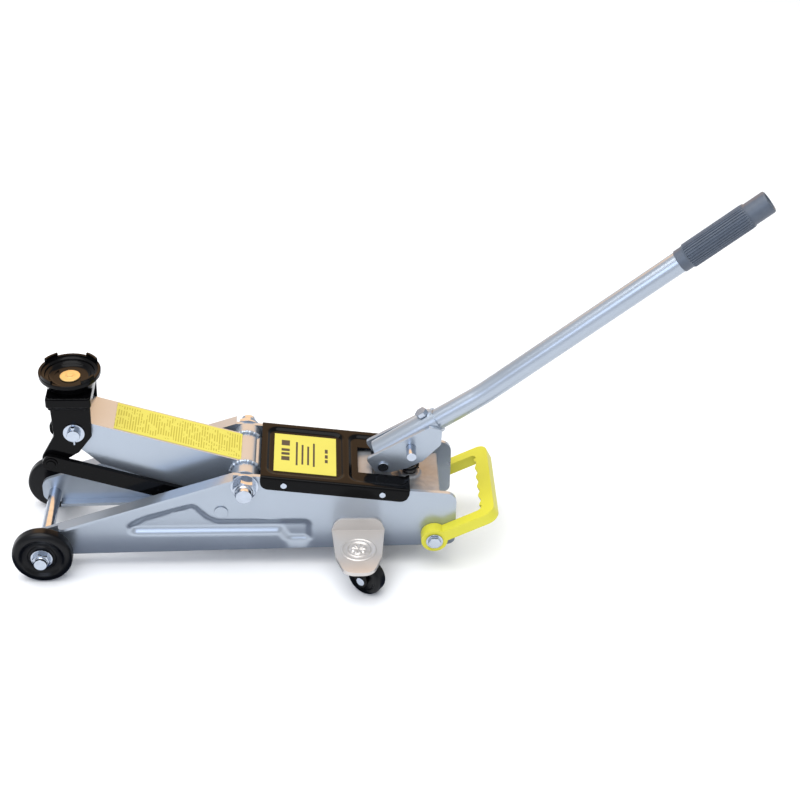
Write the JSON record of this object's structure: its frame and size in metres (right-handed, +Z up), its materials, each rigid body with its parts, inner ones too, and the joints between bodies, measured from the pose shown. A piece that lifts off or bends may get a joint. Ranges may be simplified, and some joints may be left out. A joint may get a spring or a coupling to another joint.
{
  "type": "car jack",
  "caption": "Small wheeled hydraulic car jack with a lifting arm, level saddle, swivel castors, pump handle with grip, and a carrying handle.",
  "frame": {"origin": "on the floor, at the centre of the bounding box's footprint", "axes": "+X from the saddle end towards the handle, +Y to the jack's right, +Z up"},
  "size_m": [0.7374, 0.232, 0.4031],
  "materials": {
    "frame_paint": "satin silver-grey enamel on pressed steel",
    "black_paint": "gloss black enamel",
    "zinc": "bright zinc plating",
    "bright_steel": "ground and oiled steel",
    "cast_grey": "silver paint over rough casting",
    "yellow_plastic": "satin moulded plastic",
    "black_plastic": "semi-gloss moulded nylon",
    "grip_rubber": "ribbed soft vinyl",
    "yellow_label": "printed film",
    "yellow_zinc": "yellow zinc plating",
    "spring_steel": "black oxide spring steel"
  },
  "bodies": {
    "frame": {"side_plate_left": "frame_paint", "side_plate_right": "frame_paint", "front_axle": "zinc", "axle_washers": "zinc", "axle_nuts": "zinc", "arm_pivot_shaft": "zinc", "arm_pivot_washers": "zinc", "arm_pivot_nuts": "zinc", "rod_anchor_pins": "frame_paint", "cover_plate": "black_paint", "cover_label": "yellow_label", "cover_screws": "zinc", "castor_bracket_left": "frame_paint", "castor_bracket_right": "frame_paint", "kingpins": "zinc", "power_unit_body": "cast_grey", "oil_reservoir": "cast_grey", "ram_cylinder": "bright_steel", "gland_nut": "cast_grey", "filler_plug": "zinc", "carry_handle_bolts": "zinc"},
    "arm": {"lift_arm": "frame_paint", "arm_pivot_tube": "frame_paint", "crank_pin": "bright_steel", "arm_label": "yellow_label"},
    "crank_roller": {"crank_roller": "bright_steel"},
    "bracket": {"bracket_cheeks": "black_paint", "bracket_head": "black_paint", "arm_front_pin": "zinc", "front_pin_washers": "zinc", "split_pins": "zinc"},
    "saddle": {"saddle_cup": "black_paint", "saddle_screw": "yellow_zinc", "saddle_clip": "zinc"},
    "radius_rods": {"radius_rod_left": "black_paint", "radius_rod_right": "black_paint", "rod_front_pin": "zinc", "rod_pin_clips": "zinc"},
    "ram": {"ram_head": "bright_steel", "ram_rod": "bright_steel"},
    "front_wheel_left": {"front_wheel_left": "black_plastic"},
    "front_wheel_right": {"front_wheel_right": "black_plastic"},
    "castor_fork_left": {"castor_fork_left": "black_paint", "castor_axle_left": "zinc"},
    "castor_fork_right": {"castor_fork_right": "black_paint", "castor_axle_right": "zinc"},
    "castor_wheel_left": {"castor_wheel_left": "black_plastic"},
    "castor_wheel_right": {"castor_wheel_right": "black_plastic"},
    "pump_handle": {"handle_socket": "frame_paint", "socket_cheeks": "frame_paint", "socket_hinge_pin": "zinc", "press_pin": "zinc", "clamp_bolt": "zinc", "handle_tube": "frame_paint", "handle_grip": "grip_rubber"},
    "plunger": {"pump_plunger": "bright_steel", "pump_spring": "spring_steel"},
    "release_valve": {"release_valve": "zinc"},
    "carry_handle": {"carry_handle": "yellow_plastic"}
  },
  "joints": [
    {"name": "arm_lift", "type": "hinge", "parent": "frame", "child": "arm", "pos_m": [-0.13434, 0, 0.1035], "axis": [0, 1, 0], "range_deg": [-25.6, 52]},
    {"name": "crank_roller_spin", "type": "hinge", "parent": "arm", "child": "crank_roller", "pos_m": [-0.12475, 0, 0.06261], "axis": [0, 1, 0], "continuous": true},
    {"name": "saddle_level", "type": "hinge", "parent": "arm", "child": "bracket", "pos_m": [-0.29963, 0, 0.15689], "axis": [0, 1, 0], "range_deg": [-52, 25.6]},
    {"name": "saddle_swivel", "type": "hinge", "parent": "bracket", "child": "saddle", "pos_m": [-0.30263, 0, 0.19589], "axis": [0, 0, 1], "continuous": true},
    {"name": "radius_rod_swing", "type": "hinge", "parent": "frame", "child": "radius_rods", "pos_m": [-0.15884, 0, 0.0705], "axis": [0, 1, 0], "range_deg": [-25.6, 52]},
    {"name": "ram_stroke", "type": "slide", "parent": "frame", "child": "ram", "axis": [-1, 0, 0], "range_m": [-0.0176, 0.0355]},
    {"name": "front_wheel_left_spin", "type": "hinge", "parent": "frame", "child": "front_wheel_left", "pos_m": [-0.33834, -0.0541, 0.0304], "axis": [0, 1, 0], "continuous": true},
    {"name": "front_wheel_right_spin", "type": "hinge", "parent": "frame", "child": "front_wheel_right", "pos_m": [-0.33834, 0.0541, 0.0304], "axis": [0, 1, 0], "continuous": true},
    {"name": "castor_left_swivel", "type": "hinge", "parent": "frame", "child": "castor_fork_left", "pos_m": [-0.02154, -0.08, 0.0475], "axis": [0, 0, 1], "continuous": true},
    {"name": "castor_right_swivel", "type": "hinge", "parent": "frame", "child": "castor_fork_right", "pos_m": [-0.02154, 0.08, 0.0475], "axis": [0, 0, 1], "continuous": true},
    {"name": "castor_left_spin", "type": "hinge", "parent": "castor_fork_left", "child": "castor_wheel_left", "pos_m": [-0.01335, -0.08574, 0.019], "axis": [0.5736, 0.8192, 0], "continuous": true},
    {"name": "castor_right_spin", "type": "hinge", "parent": "castor_fork_right", "child": "castor_wheel_right", "pos_m": [-0.01335, 0.08574, 0.019], "axis": [-0.5736, 0.8192, 0], "continuous": true},
    {"name": "pump_stroke", "type": "hinge", "parent": "frame", "child": "pump_handle", "pos_m": [0.00396, 0, 0.1042], "axis": [0, 1, 0], "range_deg": [-18, 20]},
    {"name": "plunger_stroke", "type": "slide", "parent": "frame", "child": "plunger", "axis": [0, 0, -1], "range_m": [-0.0089, 0.0099], "deforming": ["pump_spring"]},
    {"name": "release_valve_turn", "type": "hinge", "parent": "frame", "child": "release_valve", "pos_m": [0.06166, 0, 0.038], "axis": [1, 0, 0], "range_deg": [0, 180]},
    {"name": "carry_handle_swing", "type": "hinge", "parent": "frame", "child": "carry_handle", "pos_m": [0.05546, 0, 0.0407], "axis": [0, 1, 0], "range_deg": [-35, 48]}
  ],
  "couplings": [
    {"joint": "saddle_level", "follows": "arm_lift", "ratio": -1},
    {"joint": "radius_rod_swing", "follows": "arm_lift", "ratio": 1},
    {"joint": "ram_stroke", "follows": "arm_lift", "m_per_rad": 0.03886},
    {"joint": "plunger_stroke", "follows": "pump_stroke", "m_per_rad": 0.0277}
  ]
}
